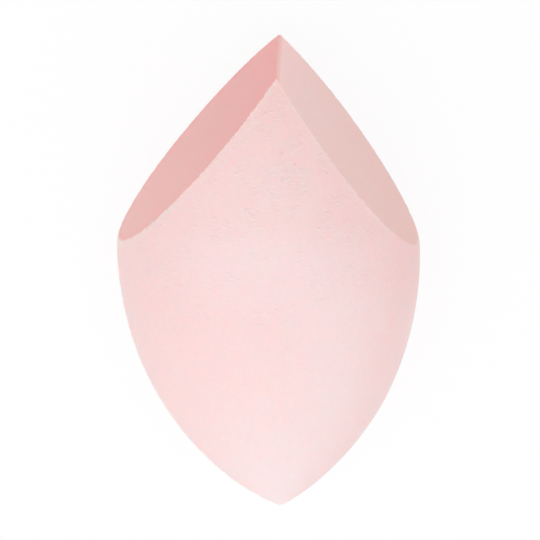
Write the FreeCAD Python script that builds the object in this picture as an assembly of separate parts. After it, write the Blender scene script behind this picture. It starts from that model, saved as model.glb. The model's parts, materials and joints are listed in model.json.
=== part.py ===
"""Make-up sponge: one moulded piece of foam, round in section and pointed at one end, with two flat cut
faces that meet in a ridge at the other. It lies on its belly, as it would on a table.

The foam is modelled along +Y, from the tip at -Y to the ridge at +Y, with the widest section, the girth, at
Y = 0. It is then laid down: tilted until its weight is over the place where it touches the table, and
settled there by a small flat. Lengths are in millimetres and angles in degrees.
"""

import FreeCAD
import Part
import math
import os

from FreeCAD import Placement, Rotation, Vector

# Moulded body: how far along the axis each end's arcs would meet it, and the radius that blunts the tip
GIRTH_RADIUS = 20.5
TIP_LENGTH = 37.55
CROWN_LENGTH = 36.0
TIP_ROUND = 0.6

# Wedge cut: the ridge lies this far along the axis and to the right of it, and each face leans from the axis
RIDGE_HEIGHT = 27.75
RIDGE_OFFSET = 2.4
LEFT_FACE_ANGLE = 42.7
RIGHT_FACE_ANGLE = 33.9
EDGE_ROUND = 0.3

# Resting place: how deep the foam settles where it carries its own weight
SETTLE_DEPTH = 0.5

# Each end is lofted through this many round sections, which takes fewer facets than the same arc revolved
TIP_SECTION_COUNT = 9
CROWN_SECTION_COUNT = 13

# Cutting shapes reach this far past the foam
OVERRUN = 5.0

ORIGIN = Vector(0, 0, 0)
X_AXIS = Vector(1, 0, 0)
Y_AXIS = Vector(0, 1, 0)
Z_AXIS = Vector(0, 0, 1)
FULL_TURN = 360.0


def arc_radius(length):
    """Radius of the side's arc, which is square to the girth and meets the axis this far from it."""
    return (length**2 + GIRTH_RADIUS**2) / (2 * GIRTH_RADIUS)


def round_section(length, turn):
    """The round section where the arc for this length has turned so far from the girth, in radians."""
    radius = arc_radius(length)
    width = GIRTH_RADIUS - radius * (1 - math.cos(turn))
    return Part.Wire([Part.Circle(Y_AXIS * (radius * math.sin(turn)), Y_AXIS, width).toShape()])


def end_of_body(length, height, sections):
    """One end of the body, lofted from the girth to this height through sections at even turns of its arc."""
    last_turn = math.asin(height / arc_radius(length))
    turns = [last_turn * i / (sections - 1) for i in range(sections)]
    return Part.makeLoft([round_section(length, turn) for turn in turns], True)


def tip_cap():
    """The cap that rounds the tip, tangent to the side's arc, and the height where the two meet."""
    radius = arc_radius(TIP_LENGTH)
    centre_offset = radius - GIRTH_RADIUS
    centre_height = -math.sqrt((radius - TIP_ROUND) ** 2 - centre_offset**2)
    turn = math.atan2(centre_offset, -centre_height)

    def point(angle):
        return Vector(TIP_ROUND * math.sin(angle), centre_height - TIP_ROUND * math.cos(angle), 0)

    lowest = point(0)
    rim = point(turn)
    middle = Vector(0, rim.y, 0)
    arc = Part.Arc(lowest, point(turn / 2), rim).toShape()
    lid = Part.LineSegment(rim, middle).toShape()
    axis_line = Part.LineSegment(middle, lowest).toShape()
    return Part.Face(Part.Wire([arc, lid, axis_line])).revolve(ORIGIN, Y_AXIS, FULL_TURN), rim.y


def moulded_body():
    """The foam before it is cut. The crown goes on past the ridge, to be cut off by the wedge."""
    cap, meeting_height = tip_cap()
    tip = end_of_body(TIP_LENGTH, meeting_height, TIP_SECTION_COUNT)
    crown = end_of_body(CROWN_LENGTH, (RIDGE_HEIGHT + CROWN_LENGTH) / 2, CROWN_SECTION_COUNT)
    return tip.multiFuse([crown, cap])


def wedge():
    """The space between the two cut planes: a prism along Z with its upper edge on the ridge."""
    depth = RIDGE_HEIGHT + TIP_LENGTH + OVERRUN
    left = RIDGE_OFFSET - depth * math.tan(math.radians(LEFT_FACE_ANGLE))
    right = RIDGE_OFFSET + depth * math.tan(math.radians(RIGHT_FACE_ANGLE))
    half_width = GIRTH_RADIUS + OVERRUN
    corners = [
        Vector(RIDGE_OFFSET, RIDGE_HEIGHT, -half_width),
        Vector(left, RIDGE_HEIGHT - depth, -half_width),
        Vector(right, RIDGE_HEIGHT - depth, -half_width),
    ]
    triangle = Part.Face(Part.makePolygon(corners + corners[:1]))
    return triangle.extrude(Z_AXIS * (2 * half_width))


def cut_edges(foam):
    """The edges round both cut faces, the ridge among them, each once."""
    edges = []
    for face in foam.Faces:
        if isinstance(face.Surface, Part.Plane):
            edges += [e for e in face.Edges if not any(e.isSame(known) for known in edges)]
    return edges


def lay_down(foam):
    """The foam on its belly, and its tilt. Its weight is above the point of contact, with a flat at Z = 0."""
    balance_height = foam.CenterOfMass.y
    radius = arc_radius(CROWN_LENGTH if balance_height > 0 else TIP_LENGTH)
    centre_offset = radius - GIRTH_RADIUS
    tilt = math.atan2(-balance_height, centre_offset)
    contact = Vector(0, -radius * math.sin(tilt), centre_offset - radius * math.cos(tilt))
    turned = Rotation(X_AXIS, math.degrees(tilt))
    settled = turned.multVec(contact) + Z_AXIS * SETTLE_DEPTH
    foam = foam.copy()
    foam.Placement = Placement(settled.negative(), turned).multiply(foam.Placement)
    box = foam.BoundBox
    table = Part.makeBox(
        box.XLength + 2 * OVERRUN,
        box.YLength + 2 * OVERRUN,
        SETTLE_DEPTH + OVERRUN,
        Vector(box.XMin - OVERRUN, box.YMin - OVERRUN, -SETTLE_DEPTH - OVERRUN),
    )
    return foam.cut(table).Solids[0], math.degrees(tilt)


def sponge_body():
    """The whole sponge as it lies, and its tilt."""
    foam = moulded_body().common(wedge()).Solids[0]
    foam = foam.makeFillet(EDGE_ROUND, cut_edges(foam)).Solids[0]
    return lay_down(foam)


def main():
    os.makedirs("parts", exist_ok=True)
    foam, tilt = sponge_body()
    foam.exportStep(os.path.join("parts", "sponge_body.step"))
    print(f"axis tilted {tilt:.3f} degrees, volume {foam.Volume:.1f}, one sound solid {foam.isValid()}")
    for face in foam.Faces:
        if isinstance(face.Surface, Part.Plane):
            print("flat face", face.CenterOfMass, face.normalAt(0, 0), f"area {face.Area:.2f}")


main()
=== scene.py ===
"""Looks of the make-up sponge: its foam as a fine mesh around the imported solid, its material, and a plain
studio.

The foam is shaped along its own axis, from the tip at -Y to the ridge at +Y with the girth at Y = 0, as in
the part's source, and then laid in the row frame. Lengths are in metres and angles in degrees.
"""

import json
import math

import bpy
import numpy as np
from mathutils import Euler, Matrix, Vector, noise


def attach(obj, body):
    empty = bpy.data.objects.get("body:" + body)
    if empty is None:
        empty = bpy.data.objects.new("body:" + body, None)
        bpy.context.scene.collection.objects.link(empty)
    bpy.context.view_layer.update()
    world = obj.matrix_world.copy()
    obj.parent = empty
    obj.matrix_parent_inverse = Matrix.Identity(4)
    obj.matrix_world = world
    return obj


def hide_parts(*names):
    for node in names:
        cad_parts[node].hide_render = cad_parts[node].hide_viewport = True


MM = 0.001

# Moulded body, as in the part's source
GIRTH_RADIUS = 20.5 * MM
TIP_LENGTH = 37.55 * MM
CROWN_LENGTH = 36.0 * MM
TIP_ROUND = 0.6 * MM
SETTLE_DEPTH = 0.5 * MM

# How softly the cut edges and the rim of the settled flat run out
EDGE_BLEND = 0.35 * MM
FLAT_BLEND = 0.25 * MM

# Unevenness of the foam's surface, as wave lengths with their heights, and the share that the cut faces get
WAVES = ((14 * MM, 0.07 * MM), (5 * MM, 0.02 * MM), (0.9 * MM, 0.008 * MM))
CUT_WAVE_SHARE = 0.5

# Worn edges: the foam crumbles a little along the cut edges and the ridge. The bias adds to the noise that
# says where, so that a bit more than half of their length is worn
CRUMB_LENGTH = 0.7 * MM
CRUMB_DEPTH = 0.1 * MM
CRUMB_REACH = 0.3 * MM
CRUMB_BIAS = 0.1

# Mesh: squares along a side of the cage and sweeps of evening out, from coarse to fine, and the sweeps on
# the soft form. The first guess is an egg, this much longer than wide
CAGE_SIDES = (16, 32, 64, 128)
CAGE_SWEEPS = (300, 200, 150, 120)
SOFT_SWEEPS = 12
EGG_STRETCH = 1.3

# How much harder the mesh draws together at the cut edges and at the tip, and over how many rows
EDGE_PULL = 1.5
EDGE_ROWS = 5.0
TIP_PULL = 3.0
TIP_ROWS = 10.0

# Steps of each search for a point on an edge and, the first time and later, on the soft form. A gap's slope
# is taken over the slope step, and the tiny length keeps a point on the axis from dividing by zero
EDGE_STEPS = 3
FIRST_STEPS = 4
NEXT_STEPS = 2
SLOPE_STEP = 0.001 * MM
TINY = 0.000001 * MM

# Marks on the mesh that its material reads. The last is a share, from -1 at the left to 1 at the right
MARKS = ("past_edge", "left_of_ridge", "along", "across")

# The skin's left and right tones run together within this distance of the axis, so that they don't meet at
# the tip
TONE_MERGE = 5 * MM

# Linear colours of the skin, from the ridge down to the tip, and of its sides and its rim at the left cut
# Besides the foam's pink they hold painted light and shade, paler mid-front and deeper at the sides and
# ridge
SKIN_TOP = (0.985, 0.685, 0.67)
SKIN_HIGH = (0.99, 0.724, 0.718)
SKIN_GIRTH = (0.99, 0.756, 0.76)
SKIN_LOW_LEFT = (0.97, 0.715, 0.715)
SKIN_LOW_RIGHT = (0.995, 0.80, 0.805)
SKIN_TIP = (0.98, 0.745, 0.745)
SKIN_SIDE_SHADE = (0.995, 0.64, 0.63)
SKIN_RIM = (0.97, 0.69, 0.66)

# Where these change: along the axis from the girth, across it, and from the edge of the cut
TIP_TO_LOW = (-28.0 * MM, -10.0 * MM)
LOW_TO_GIRTH = (-3.0 * MM, 8.0 * MM)
GIRTH_TO_HIGH = (5.0 * MM, 11.0 * MM)
HIGH_TO_TOP = (17.0 * MM, 27.0 * MM)
LEFT_TO_RIGHT_SHARES = (0.1, 0.6)
FRONT_POWER = 1.5
RIM_TONE = (-0.5 * MM, -0.1 * MM)
RIM_SHARE = 0.7

# Painted shade: the skin is darker near the low corner of the right cut
CORNER_SHADE = (0.94, 0.92, 0.92)
CORNER_ALONG = (-9.0 * MM, 0.0)
CORNER_SHARES = (0.75, 1.0)

# Linear colours of the cut faces, each with its own tint at the edge and both with one at the ridge
RIGHT_CUT_TOP = (0.935, 0.61, 0.585)
RIGHT_CUT_LOW = (0.875, 0.53, 0.49)
# The left cut's deeper tone than the right's is painted shade
SHADED_LEFT_CUT_TOP = (0.88, 0.38, 0.365)
SHADED_LEFT_CUT_LOW = (0.95, 0.485, 0.455)
RIGHT_EDGE_TINT = (0.965, 0.995, 1.0)
LEFT_EDGE_TINT = (0.98, 0.95, 0.95)
RIDGE_TINT = (0.975, 0.95, 0.95)

# Where these change: along the axis, past the edge of the cut, off the ridge, and from right to left
LOW_TO_TOP = (3.0 * MM, 27.0 * MM)
EDGE_TONE = (0.3 * MM, 1.2 * MM)
RIDGE_TONE = (0.2 * MM, 0.8 * MM)
RIGHT_TO_LEFT = (-0.9 * MM, 0.3 * MM)

# Border between skin and cut: how far past the edge it lies, and how ragged it is low on the cut and higher
# up. The edge is blunt near the girth, and there the same raggedness would spread over more of the skin
BORDER = (0.05 * MM, 0.25 * MM)
RAGGED_DEPTH = (0.25 * MM, 0.7 * MM)
RAGGED_ALONG = (0.0, 14.0 * MM)
RAGGED_LENGTH = 0.6 * MM

# Detail of each noise in the material, in octaves, and the value that a noise lies round
SOFT_DETAIL = 1.0
FINE_DETAIL = 2.0
GRAIN_DETAIL = 3.0
NOISE_MIDDLE = 0.5

# Grain of the foam: its wave length, its cells, its relief, its tint and how it changes the roughness
GRAIN_LENGTH = 0.5 * MM
CELL_SIZE = 0.28 * MM
CELL_SHARE = 0.5
GRAIN_DEPTH = 0.06 * MM
GRAIN_RELIEF_SHARE = 0.4
GRAIN_TINT = (0.985, 0.98, 0.98)
GRAIN_TINT_RANGE = (0.35, 0.65)
ROUGHNESS_RANGE = (0.3, 0.7)
ROUGHNESS = (0.78, 0.92)

# Open pits in the skin: their spacing in the foam, how wide they are where the surface cuts them, how deep
# and how bent. They grow towards the ridge
PIT_SPACING = 1.5 * MM
PIT_RADIUS = 0.22 * MM
PIT_DEPTH = 0.15 * MM
PIT_BEND = 0.5 * MM
PIT_BEND_LENGTH = 0.4 * MM
PIT_ALONG = (-20.0 * MM, 12.0 * MM)
PIT_LOW_SHARE = 0.35
PIT_WALL_SHARES = (0.4, 1.0)
PIT_SIZE_SHARES = (0.1, 0.5)
LEAST_REACH = 0.0001
# Painted shade: the pits are darker inside
PIT_SHADE = (0.96, 0.93, 0.93)

# Fine creases across the skin: how wide and how deep they are, how many times as long, and how they gather
# in patches. They grow towards the ridge
CREASE_WIDTH = 0.3 * MM
CREASE_DEPTH = 0.08 * MM
CREASE_STRETCH = 3.0
CREASE_RANGE = (0.5, 0.72)
CREASE_ALONG = (-10.0 * MM, 10.0 * MM)
CREASE_LOW_SHARE = 0.15
PATCH_LENGTH = 2.5 * MM
PATCH_RANGE = (0.42, 0.62)
PATCH_LEAST_SHARE = 0.1
# Painted shade: the creases are darker inside
CREASE_SHADE = (0.99, 0.985, 0.985)

# Painted highlight as a pale lip of each pit and crease, towards the tip: its width, colour and how much it
# shows
PIT_LIP = 0.25 * MM
CREASE_LIP = 0.15 * MM
PIT_LIP_SHARE = 0.9
CREASE_LIP_SHARE = 0.7
LIP_HIGHLIGHT = (1.0, 0.87, 0.87)

# How far red, green and blue light soaks into the foam, and its faint gloss and sheen
SCATTER_RADIUS = (4.0 * MM, 1.2 * MM, 1.0 * MM)
GLOSS_LEVEL = 0.25
SHEEN_WEIGHT = 0.1
SHEEN_ROUGHNESS = 0.6

# Camera: a long lens above the sponge, as the photograph's outline asks, and how near and how far it sees
CAMERA_PLACE = (26.33 * MM, 141.58 * MM, 683.3 * MM)
CAMERA_TURN = (-12.049, 1.81, -2.157)
CAMERA_RANGE = (10 * MM, 10000 * MM)
LENS = 333.33
SENSOR = 36.0

# Studio: even light from all round, square soft lamps with their directions and shares of the light, and
# the floor
WORLD_LIGHT = 0.63
LAMPS = (
    ("overhead", (0.0, 0.0, 1.0), 0.31),
    ("front", (0.0, -1.0, 0.8), 0.08),
    ("front_left", (-0.8, -0.7, 0.7), 0.095),
    ("front_right", (0.8, -0.7, 0.7), 0.02),
    ("back_left", (-1.0, 0.6, 0.5), 0.035),
    ("back_right", (1.0, 0.5, 0.5), 0.035),
)
LAMP_DISTANCE = 900 * MM
LAMP_SIDE = 600 * MM
FLOOR_REACH = 6000 * MM
FLOOR_WHITE = (0.98, 0.98, 0.98, 1.0)
FLOOR_GLOW_SHARE = 0.87
WHITE = (1.0, 1.0, 1.0, 1.0)

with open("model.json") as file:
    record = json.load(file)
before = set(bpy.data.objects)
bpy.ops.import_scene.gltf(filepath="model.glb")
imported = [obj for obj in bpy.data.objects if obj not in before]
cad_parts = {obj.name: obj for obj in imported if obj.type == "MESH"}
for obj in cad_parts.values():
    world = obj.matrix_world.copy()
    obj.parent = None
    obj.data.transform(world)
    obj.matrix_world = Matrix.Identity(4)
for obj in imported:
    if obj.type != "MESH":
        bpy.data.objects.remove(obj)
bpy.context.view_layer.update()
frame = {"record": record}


def arc_radius(length):
    """Radius of the side's arc, which is square to the girth and meets the axis this far from it."""
    return (length**2 + GIRTH_RADIUS**2) / (2 * GIRTH_RADIUS)


TIP_ARC = arc_radius(TIP_LENGTH)
CROWN_ARC = arc_radius(CROWN_LENGTH)
TIP_BACK = TIP_ARC - GIRTH_RADIUS
TIP_BALL = np.array([0, -math.sqrt((TIP_ARC - TIP_ROUND) ** 2 - TIP_BACK**2), 0])


def laid_down():
    """Turn from the foam's axes to the row frame, the girth's centre there, and the cut planes unturned."""
    mounts = {m["name"]: m for m in frame["record"]["mounts"]}
    faces = [mounts["left_cut_face"], mounts["right_cut_face"]]
    left, right = (np.array(face["axis"]) for face in faces)
    ridge = np.cross(right, left)
    tilt = math.atan2(-ridge[1], ridge[2])
    turn = np.array(Matrix.Rotation(tilt, 3, "X"))
    contact = np.array([0, -TIP_ARC * math.sin(tilt), TIP_BACK - TIP_ARC * math.cos(tilt)])
    centre = -(turn @ contact) - np.array([0, 0, SETTLE_DEPTH])
    planes = []
    for face in faces:
        normal = turn.T @ np.array(face["axis"])
        place = turn.T @ (np.array(face["pos_m"]) - centre)
        planes.append((normal, normal @ place))
    return turn, centre, planes


TURN, CENTRE, (LEFT_PLANE, RIGHT_PLANE) = laid_down()


def plane_gap(p, plane):
    """How far points lie outside a cut plane."""
    normal, offset = plane
    return p @ normal - offset


def body_parts(p):
    """For each point: its distance from the axis, its arc's radius, and if the tip's ball is nearest."""
    out = np.hypot(p[:, 0], p[:, 2])
    radius = np.where(p[:, 1] < 0, TIP_ARC, CROWN_ARC)
    in_ball = (out + TIP_BACK) * -TIP_BALL[1] < TIP_BACK * -p[:, 1]
    return out, radius, in_ball


def body_gap(p):
    """How far points lie outside the moulded body."""
    out, radius, in_ball = body_parts(p)
    side = np.hypot(out + radius - GIRTH_RADIUS, p[:, 1]) - radius
    return np.where(in_ball, np.linalg.norm(p - TIP_BALL, axis=1) - TIP_ROUND, side)


def onto_body(p):
    """The nearest points of the moulded body."""
    out, radius, in_ball = body_parts(p)
    back = radius - GIRTH_RADIUS
    share = radius / np.hypot(out + back, p[:, 1])
    widen = ((out + back) * share - back) / np.maximum(out, TINY)
    side = np.stack([p[:, 0] * widen, p[:, 1] * share, p[:, 2] * widen], 1)
    from_ball = p - TIP_BALL
    ball = TIP_BALL + from_ball * (TIP_ROUND / np.linalg.norm(from_ball, axis=1))[:, None]
    return np.where(in_ball[:, None], ball, side)


def gradient(gap, p):
    """How a gap grows along each axis."""
    return np.stack([(gap(p + d) - gap(p - d)) / (2 * SLOPE_STEP) for d in np.eye(3) * SLOPE_STEP], 1)


def onto_edge(p, plane):
    """The nearest points of the edge between a cut face and the body."""
    normal, _ = plane
    for _ in range(EDGE_STEPS):
        slope = gradient(body_gap, p)
        from_plane, from_body = plane_gap(p, plane), body_gap(p)
        cross = slope @ normal
        spread = 1 - cross**2
        along_normal = (from_plane - cross * from_body) / spread
        along_slope = (from_body - cross * from_plane) / spread
        p = p - along_normal[:, None] * normal - along_slope[:, None] * slope
    return p


def ridge_ends():
    """The two ends of the ridge, where both planes meet the body."""
    normals = np.array([LEFT_PLANE[0][:2], RIGHT_PLANE[0][:2]])
    x, y = np.linalg.solve(normals, [LEFT_PLANE[1], RIGHT_PLANE[1]])
    width = math.sqrt(CROWN_ARC**2 - y**2) - (CROWN_ARC - GIRTH_RADIUS)
    height = math.sqrt(width**2 - x**2)
    return np.array([[x, y, -height], [x, y, height]])


def cage(n):
    """A cube's surface, n squares a side: each point's place on the lattice, and the squares."""
    u, v = np.meshgrid(np.arange(n + 1), np.arange(n + 1), indexing="ij")
    places, squares = [], []
    for axis in range(3):
        for side in (0, n):
            grid = np.empty((n + 1, n + 1, 3), int)
            grid[..., axis] = side
            grid[..., (axis + 1) % 3] = u
            grid[..., (axis + 2) % 3] = v
            ids = len(places) * (n + 1) ** 2 + np.arange((n + 1) ** 2).reshape(n + 1, n + 1)
            square = np.stack([ids[:-1, :-1], ids[1:, :-1], ids[1:, 1:], ids[:-1, 1:]], -1).reshape(-1, 4)
            places.append(grid.reshape(-1, 3))
            squares.append(square if side else square[:, ::-1])
    lattice, merged = np.unique(np.concatenate(places), axis=0, return_inverse=True)
    return lattice, merged.ravel()[np.concatenate(squares)]


def first_guess(lattice, n):
    """The cage blown up to an egg of the sponge's size, with two of its sides towards the cut faces."""
    p = 2.0 * lattice / n - 1.0
    p /= np.linalg.norm(p, axis=1)[:, None]
    across, along = (p[:, 0] - p[:, 1]) / math.sqrt(2), (p[:, 0] + p[:, 1]) / math.sqrt(2)
    return np.stack([across, along * EGG_STRETCH, p[:, 2]], 1) * GIRTH_RADIUS


def from_coarser(lattice, coarse, p):
    """Points on a lattice with twice the squares: the coarser cage's own, and the middles between them."""
    index = -np.ones((coarse.max() + 1,) * 3, int)
    index[tuple(coarse.T)] = np.arange(len(coarse))
    picks = np.array([index[tuple(((lattice + corner) // 2).T)] for corner in np.ndindex(2, 2, 2)])
    known = picks >= 0
    return (p[picks] * known[..., None]).sum(0) / known.sum(0)[:, None]


def settle_on_form(p, lattice, n):
    """Points put back where they belong: the body, a cut face, an edge, the ridge, its ends or the tip."""
    a, b, c = lattice.T
    right, left = a == n, b == n
    body = (a == 0) | (b == 0) | (c == 0) | (c == n)
    ends = ridge_ends()
    p[body] = onto_body(p[body])
    for face, plane in ((left, LEFT_PLANE), (right, RIGHT_PLANE)):
        p[face] -= plane_gap(p[face], plane)[:, None] * plane[0]
        p[face & body] = onto_edge(p[face & body], plane)
    ridge = left & right
    p[ridge, :2] = ends[0, :2]
    p[ridge & (c == 0)] = ends[0]
    p[ridge & (c == n)] = ends[1]
    p[(a == 0) & (b == 0) & (2 * c == n)] = TIP_BALL - [0, TIP_ROUND, 0]
    return p


def links(squares):
    """The pairs of neighbours along the squares' sides, both ways."""
    pairs = np.concatenate([squares[:, [k, (k + 1) % 4]] for k in range(4)])
    pairs = np.unique(np.sort(pairs, axis=1), axis=0)
    return np.concatenate([pairs, pairs[:, ::-1]])


def pull_shares(lattice, pairs, n):
    """How much each neighbour counts: more at the cut edges and at the tip, which need finer squares."""
    a, b, c = lattice.T
    to_side = [np.minimum(x, n - x) for x in (a, b, c)]
    on_right = np.minimum(to_side[1], to_side[2])
    on_left = np.minimum(to_side[0], to_side[2])
    rows = np.where(a == n, on_right, np.where(b == n, on_left, np.minimum(n - a, n - b)))
    from_tip = np.sqrt(a**2 + b**2 + (c - n / 2) ** 2)
    fine = CAGE_SIDES[-1] / n
    edge_rows = rows[pairs].max(1) * fine
    tip_rows = from_tip[pairs].max(1) * fine
    at_edge = EDGE_PULL * np.exp(-((edge_rows / EDGE_ROWS) ** 4))
    at_tip = TIP_PULL * np.exp(-((tip_rows / TIP_ROWS) ** 2))
    weight = 1 + at_edge + at_tip
    return weight / np.bincount(pairs[:, 0], weight)[pairs[:, 0]]


def evened(p, pairs, shares):
    """Each point moved to the middle of its neighbours, as much as each counts."""
    drawn = p[pairs[:, 1]] * shares[:, None]
    return np.stack([np.bincount(pairs[:, 0], drawn[:, k]) for k in range(3)], 1)


def sharp_form():
    """The foam's mesh with sharp cut edges, evened out from a coarse cage to a fine one."""
    coarse, p = None, None
    for n, sweeps in zip(CAGE_SIDES, CAGE_SWEEPS):
        lattice, squares = cage(n)
        p = first_guess(lattice, n) if p is None else from_coarser(lattice, coarse, p)
        pairs = links(squares)
        shares = pull_shares(lattice, pairs, n)
        for _ in range(sweeps):
            p = settle_on_form(evened(p, pairs, shares), lattice, n)
        coarse = lattice
    return p, squares, pairs, shares


def smooth_max(x, y, blend):
    """The larger of two gaps, with a soft change from one to the other."""
    near = np.maximum(blend - np.abs(x - y), 0)
    return np.maximum(x, y) + near**2 / (4 * blend)


def foam_gap(p):
    """How far points lie outside the foam with its soft edges."""
    cut = smooth_max(plane_gap(p, LEFT_PLANE), plane_gap(p, RIGHT_PLANE), EDGE_BLEND)
    return smooth_max(cut, body_gap(p), EDGE_BLEND)


def soft_form(p, pairs, shares):
    """The mesh drawn in to the foam's soft edges and evened out there, and the way out of the foam."""
    for sweep in range(SOFT_SWEEPS):
        if sweep:
            p = (p + evened(p, pairs, shares)) / 2
        for _ in range(NEXT_STEPS if sweep else FIRST_STEPS):
            slope = gradient(foam_gap, p)
            p = p - (foam_gap(p) / (slope**2).sum(1))[:, None] * slope
    slope = gradient(foam_gap, p)
    return p, slope / np.linalg.norm(slope, axis=1)[:, None]


def waves(p, length):
    """Soft noise of this wave length at each point, from about -1 to 1."""
    return np.array([noise.noise(Vector(x)) for x in p / length])


def settled(p):
    """Points laid in the row frame, with the settled flat at Z = 0 and a soft rim round it."""
    p = p @ TURN.T + CENTRE
    table = np.zeros(len(p))
    lift = smooth_max(0.0, 0.0, FLAT_BLEND)
    p[:, 2] = np.maximum(smooth_max(p[:, 2], table, FLAT_BLEND) - lift, table)
    return p


def foam():
    """The sponge's mesh, with its marks: how far each point lies past a cut edge, left of the ridge, along
    the axis from the girth, and across it."""
    sharp, squares, pairs, shares = sharp_form()
    p, out = soft_form(sharp, pairs, shares)
    left, right = plane_gap(p, LEFT_PLANE), plane_gap(p, RIGHT_PLANE)
    past_edge = np.maximum(left, right) - body_gap(p)
    across = p[:, 0] / np.maximum(np.hypot(p[:, 0], p[:, 2]), TONE_MERGE)
    marks = dict(zip(MARKS, (past_edge, left - right, p[:, 1], across)))

    wave_share = np.where(past_edge > 0, CUT_WAVE_SHARE, 1.0)
    height = sum(size * waves(p, length) for length, size in WAVES) * wave_share
    worn = np.exp(-((past_edge / CRUMB_REACH) ** 2))
    height -= CRUMB_DEPTH * worn * np.maximum(waves(p, CRUMB_LENGTH) + CRUMB_BIAS, 0)
    return settled(p + out * height[:, None]), squares, marks


def add_foam():
    """The foam as a piece that stands for the solid."""
    p, squares, marks = foam()
    mesh = bpy.data.meshes.new("sponge_foam")
    mesh.from_pydata(p.tolist(), [], squares.tolist())
    mesh.shade_smooth()
    for name, values in marks.items():
        mesh.attributes.new(name, "FLOAT", "POINT").data.foreach_set("value", values.astype(np.float32))
    mesh.materials.append(foam_material())
    piece = bpy.data.objects.new("sponge_foam", mesh)
    bpy.context.scene.collection.objects.link(piece)
    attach(piece, "root")
    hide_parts("sponge_body")


class Nodes:
    """A material's nodes, added and joined in one line each."""

    def __init__(self, name):
        self.material = bpy.data.materials.new(name)
        self.material.use_nodes = True
        self.tree = self.material.node_tree
        self.shader = self.tree.nodes["Principled BSDF"]
        self.output = self.tree.nodes["Material Output"]

    def add(self, kind, inputs=None, **settings):
        """A node with these settings. An input is a value, or another node's output."""
        node = self.tree.nodes.new(kind)
        for name, value in settings.items():
            setattr(node, name, value)
        self.fill(node, inputs or {})
        return node

    def fill(self, node, inputs):
        """Sets or joins a node's inputs, by name or number."""
        for name, value in inputs.items():
            if isinstance(value, bpy.types.NodeSocket):
                self.tree.links.new(value, node.inputs[name])
            else:
                node.inputs[name].default_value = value

    def math(self, operation, *values):
        """The result of a sum on numbers."""
        return self.add("ShaderNodeMath", dict(enumerate(values)), operation=operation).outputs[0]

    def vector(self, operation, *values):
        """The result of a sum on vectors."""
        return self.add("ShaderNodeVectorMath", dict(enumerate(values)), operation=operation).outputs[0]

    def noise(self, place, length, detail, output="Fac"):
        """Soft noise of this wave length, from 0 to 1 and mostly near a half."""
        inputs = {"Vector": place, "Scale": 1 / length, "Detail": detail}
        return self.add("ShaderNodeTexNoise", inputs).outputs[output]

    def span(self, value, given, wanted):
        """A value's range turned into another range, and held inside it."""
        ends = {"From Min": given[0], "From Max": given[1], "To Min": wanted[0], "To Max": wanted[1]}
        return self.add("ShaderNodeMapRange", {"Value": value, **ends}).outputs["Result"]

    def rise(self, value, given):
        """From 0 at the start of a value's range to 1 at its end."""
        return self.span(value, given, (0.0, 1.0))

    def fall(self, value, given):
        """From 1 at the start of a value's range to 0 at its end."""
        return self.span(value, given, (1.0, 0.0))

    def mix(self, kind, share, first, second):
        """Two colours mixed in this way, as far as share says. Each may be another node's output."""
        node = self.add("ShaderNodeMix", data_type="RGBA", blend_type=kind)
        colours = [i for i, socket in enumerate(node.inputs) if socket.type == "RGBA"]
        first, second = (v if isinstance(v, bpy.types.NodeSocket) else (*v, 1.0) for v in (first, second))
        self.fill(node, {0: share, colours[0]: first, colours[1]: second})
        return next(socket for socket in node.outputs if socket.type == "RGBA")

    def blend(self, share, first, second):
        """From the first colour to the second."""
        return self.mix("MIX", share, first, second)

    def tint(self, share, colour, by):
        """A colour multiplied by another one, as far as share says."""
        return self.mix("MULTIPLY", share, colour, by)


def cut_share(nodes, marks, place):
    """How far the cut's colour has taken over from the skin's, with a ragged border."""
    ragged = nodes.math("SUBTRACT", nodes.noise(place, RAGGED_LENGTH, FINE_DETAIL), NOISE_MIDDLE)
    depth = nodes.span(marks["along"], RAGGED_ALONG, RAGGED_DEPTH)
    return nodes.rise(nodes.math("MULTIPLY_ADD", ragged, depth, marks["past_edge"]), BORDER)


def cut_tone_with_painted_shade(nodes, marks):
    """The cut faces' colour, deepest on the left, where it is painted shade."""
    left = nodes.rise(marks["left_of_ridge"], RIGHT_TO_LEFT)
    to_top = nodes.rise(marks["along"], LOW_TO_TOP)
    right_tone = nodes.blend(to_top, RIGHT_CUT_LOW, RIGHT_CUT_TOP)
    shaded_left_tone = nodes.blend(to_top, SHADED_LEFT_CUT_LOW, SHADED_LEFT_CUT_TOP)
    edge_tint = nodes.blend(left, RIGHT_EDGE_TINT, LEFT_EDGE_TINT)
    at_edge = nodes.fall(marks["past_edge"], EDGE_TONE)
    tone = nodes.tint(at_edge, nodes.blend(left, right_tone, shaded_left_tone), edge_tint)
    at_ridge = nodes.fall(nodes.math("ABSOLUTE", marks["left_of_ridge"]), RIDGE_TONE)
    return nodes.tint(at_ridge, tone, RIDGE_TINT)


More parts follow.
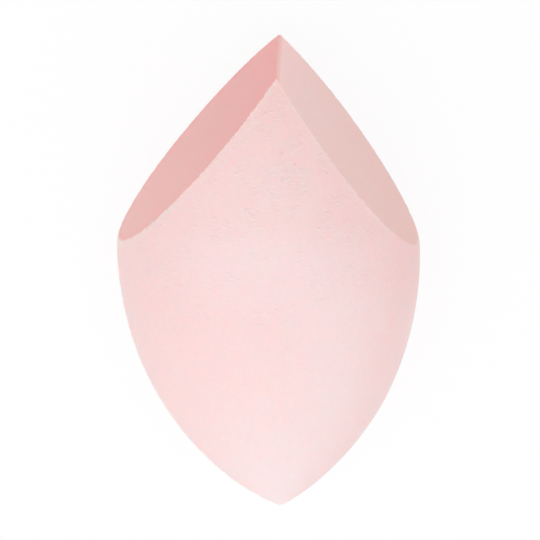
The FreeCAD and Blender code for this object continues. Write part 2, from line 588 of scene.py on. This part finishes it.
def skin_tone_and_painted_light(nodes, marks):
    """The skin's colour with painted light and shade, palest in the middle of its front and back and low on
    the right.
    """
    along, across = marks["along"], marks["across"]
    low = nodes.blend(nodes.rise(across, LEFT_TO_RIGHT_SHARES), SKIN_LOW_LEFT, SKIN_LOW_RIGHT)
    low = nodes.blend(nodes.rise(along, TIP_TO_LOW), SKIN_TIP, low)
    high = nodes.blend(nodes.rise(along, GIRTH_TO_HIGH), SKIN_GIRTH, SKIN_HIGH)
    high = nodes.blend(nodes.rise(along, HIGH_TO_TOP), high, SKIN_TOP)
    middle = nodes.blend(nodes.rise(along, LOW_TO_GIRTH), low, high)
    # Painted light and shade: paler in the middle of the front and back, deeper towards the sides
    facing = nodes.math("SUBTRACT", 1.0, nodes.math("MULTIPLY", across, across))
    facing = nodes.math("POWER", nodes.math("MAXIMUM", facing, 0.0), FRONT_POWER)
    tone = nodes.blend(facing, SKIN_SIDE_SHADE, middle)

    # Painted shade near the low corner of the right cut
    corner = nodes.math("MULTIPLY", nodes.rise(across, CORNER_SHARES), nodes.rise(along, CORNER_ALONG))
    tone = nodes.tint(corner, tone, CORNER_SHADE)
    left = nodes.rise(marks["left_of_ridge"], RIGHT_TO_LEFT)
    rim = nodes.math("MULTIPLY", nodes.span(marks["past_edge"], RIM_TONE, (0.0, RIM_SHARE)), left)
    return nodes.blend(rim, tone, SKIN_RIM)


def pits(nodes, marks, place, skin):
    """Open pits of all sizes in the skin, from 0 to 1 at the bottom."""
    bend = nodes.noise(place, PIT_BEND_LENGTH, SOFT_DETAIL, "Color")
    bend = nodes.vector("SUBTRACT", bend, (NOISE_MIDDLE,) * 3)
    bent = nodes.vector("MULTIPLY_ADD", bend, (PIT_BEND,) * 3, place)
    cells = nodes.add("ShaderNodeTexVoronoi", {"Vector": bent, "Scale": 1 / PIT_SPACING})
    chance = nodes.add("ShaderNodeSeparateColor", {"Color": cells.outputs["Color"]}).outputs[0]
    growth = nodes.span(marks["along"], PIT_ALONG, (PIT_LOW_SHARE, 1.0))
    size = nodes.math("MULTIPLY", nodes.math("MULTIPLY", chance, growth), skin)
    reach = nodes.math("MULTIPLY_ADD", size, PIT_RADIUS / PIT_SPACING, LEAST_REACH)
    wall = nodes.fall(nodes.math("DIVIDE", cells.outputs["Distance"], reach), PIT_WALL_SHARES)
    return nodes.math("MULTIPLY", wall, nodes.rise(size, PIT_SIZE_SHARES))


def creases(nodes, marks, place, skin):
    """Fine creases across the skin, from 0 to 1 at the bottom."""
    squeezed = nodes.vector("MULTIPLY", place, (1 / CREASE_STRETCH, 1, 1))
    crease = nodes.rise(nodes.noise(squeezed, CREASE_WIDTH, FINE_DETAIL), CREASE_RANGE)
    growth = nodes.span(marks["along"], CREASE_ALONG, (CREASE_LOW_SHARE, 1.0))
    patch = nodes.noise(place, PATCH_LENGTH, SOFT_DETAIL)
    patch = nodes.span(patch, PATCH_RANGE, (PATCH_LEAST_SHARE, 1.0))
    share = nodes.math("MULTIPLY", nodes.math("MULTIPLY", growth, patch), skin)
    return nodes.math("MULTIPLY", crease, share)


def painted_lip_highlights(nodes, marks, place, skin, colour, pit, crease):
    """A colour with painted highlights: pale lips of the pits and creases, each on its side towards the
    tip.
    """
    hollows = ((pits, pit, PIT_LIP, PIT_LIP_SHARE), (creases, crease, CREASE_LIP, CREASE_LIP_SHARE))
    for form, here, width, share in hollows:
        above = form(nodes, marks, nodes.vector("ADD", place, (0, width, 0)), skin)
        lip = nodes.math("MAXIMUM", nodes.math("SUBTRACT", above, here), 0.0)
        colour = nodes.blend(nodes.math("MULTIPLY", lip, share), colour, LIP_HIGHLIGHT)
    return colour


def relief(nodes, place, grain, pit, crease):
    """The way out of the surface with its grain, pits and creases."""
    cells = nodes.add("ShaderNodeTexVoronoi", {"Vector": place, "Scale": 1 / CELL_SIZE})
    height = nodes.math("MULTIPLY_ADD", cells.outputs["Distance"], CELL_SHARE, grain)
    inputs = {"Height": height, "Strength": GRAIN_RELIEF_SHARE, "Distance": GRAIN_DEPTH}
    grained = nodes.add("ShaderNodeBump", inputs).outputs["Normal"]
    pit_height = nodes.math("SUBTRACT", 0.0, pit)
    depth = nodes.math("MULTIPLY_ADD", crease, -CREASE_DEPTH / PIT_DEPTH, pit_height)
    inputs = {"Height": depth, "Strength": 1.0, "Distance": PIT_DEPTH, "Normal": grained}
    return nodes.add("ShaderNodeBump", inputs).outputs["Normal"]


def foam_material():
    """Fine foam: grain, open pits and creases in its skin, smooth cut faces, light that soaks in, and
    painted light and shade.
    """
    nodes = Nodes("pale_foam")
    place = nodes.add("ShaderNodeTexCoord").outputs["Object"]
    marks = {name: nodes.add("ShaderNodeAttribute", attribute_name=name).outputs["Fac"] for name in MARKS}
    cut = cut_share(nodes, marks, place)
    skin = nodes.math("SUBTRACT", 1.0, cut)
    grain = nodes.noise(place, GRAIN_LENGTH, GRAIN_DETAIL)
    pit = pits(nodes, marks, place, skin)
    crease = creases(nodes, marks, place, skin)

    colour = nodes.blend(cut, skin_tone_and_painted_light(nodes, marks), cut_tone_with_painted_shade(nodes, marks))
    colour = nodes.tint(nodes.rise(grain, GRAIN_TINT_RANGE), colour, GRAIN_TINT)
    # Painted shade inside the pits and creases
    colour = nodes.tint(crease, nodes.tint(pit, colour, PIT_SHADE), CREASE_SHADE)
    colour = painted_lip_highlights(nodes, marks, place, skin, colour, pit, crease)
    surface = {
        "Base Color": colour,
        "Roughness": nodes.span(grain, ROUGHNESS_RANGE, ROUGHNESS),
        "Normal": relief(nodes, place, grain, pit, crease),
        "Subsurface Weight": 1.0,
        "Subsurface Radius": SCATTER_RADIUS,
        "Subsurface Scale": 1.0,
        "Specular IOR Level": GLOSS_LEVEL,
        "Sheen Weight": SHEEN_WEIGHT,
        "Sheen Roughness": SHEEN_ROUGHNESS,
    }
    nodes.fill(nodes.shader, surface)
    return nodes.material


def add_camera():
    """The camera at the photograph's viewing angle."""
    data = bpy.data.cameras.new("camera")
    data.lens = LENS
    data.sensor_width = SENSOR
    data.clip_start, data.clip_end = CAMERA_RANGE
    camera = bpy.data.objects.new("camera", data)
    camera.location = CAMERA_PLACE
    camera.rotation_euler = Euler([math.radians(a) for a in CAMERA_TURN], "XYZ")
    bpy.context.scene.collection.objects.link(camera)
    bpy.context.scene.camera = camera


def add_lamp(name, direction, share):
    """A square soft lamp. A white surface that faces it gets this share of its brightness from it."""
    data = bpy.data.lights.new(name, "AREA")
    data.size = LAMP_SIDE
    data.energy = share * math.pi**2 * LAMP_DISTANCE**2
    lamp = bpy.data.objects.new(name, data)
    way = Vector(direction).normalized()
    lamp.location = way * LAMP_DISTANCE
    lamp.rotation_euler = way.to_track_quat("Z", "Y").to_euler()
    lamp.visible_camera = False
    bpy.context.scene.collection.objects.link(lamp)


def floor_material():
    """A white floor that keeps a soft shadow. The camera sees it brighter than the sponge does."""
    nodes = Nodes("floor")
    nodes.fill(nodes.shader, {"Base Color": FLOOR_WHITE, "Roughness": 1.0, "Specular IOR Level": 0.0})
    glow = nodes.add("ShaderNodeEmission", {"Color": WHITE, "Strength": 1.0})
    seen = nodes.add("ShaderNodeLightPath").outputs["Is Camera Ray"]
    share = nodes.math("MULTIPLY", seen, FLOOR_GLOW_SHARE)
    mix = nodes.add("ShaderNodeMixShader", {0: share, 1: nodes.shader.outputs[0], 2: glow.outputs[0]})
    nodes.fill(nodes.output, {"Surface": mix.outputs[0]})
    return nodes.material


def add_floor():
    """The plain floor that the sponge lies on."""
    mesh = bpy.data.meshes.new("floor")
    corners = [(x * FLOOR_REACH, y * FLOOR_REACH, 0) for x, y in ((-1, -1), (1, -1), (1, 1), (-1, 1))]
    mesh.from_pydata(corners, [], [(0, 1, 2, 3)])
    mesh.materials.append(floor_material())
    floor = bpy.data.objects.new("floor", mesh)
    bpy.context.scene.collection.objects.link(floor)


def add_world():
    """Even pale light from all round."""
    world = bpy.data.worlds.new("studio")
    world.use_nodes = True
    background = world.node_tree.nodes["Background"]
    background.inputs["Color"].default_value = WHITE
    background.inputs["Strength"].default_value = WORLD_LIGHT
    bpy.context.scene.world = world


add_camera()
add_foam()
add_floor()
add_world()
for lamp in LAMPS:
    add_lamp(*lamp)

bpy.context.scene.view_settings.view_transform = "Standard"
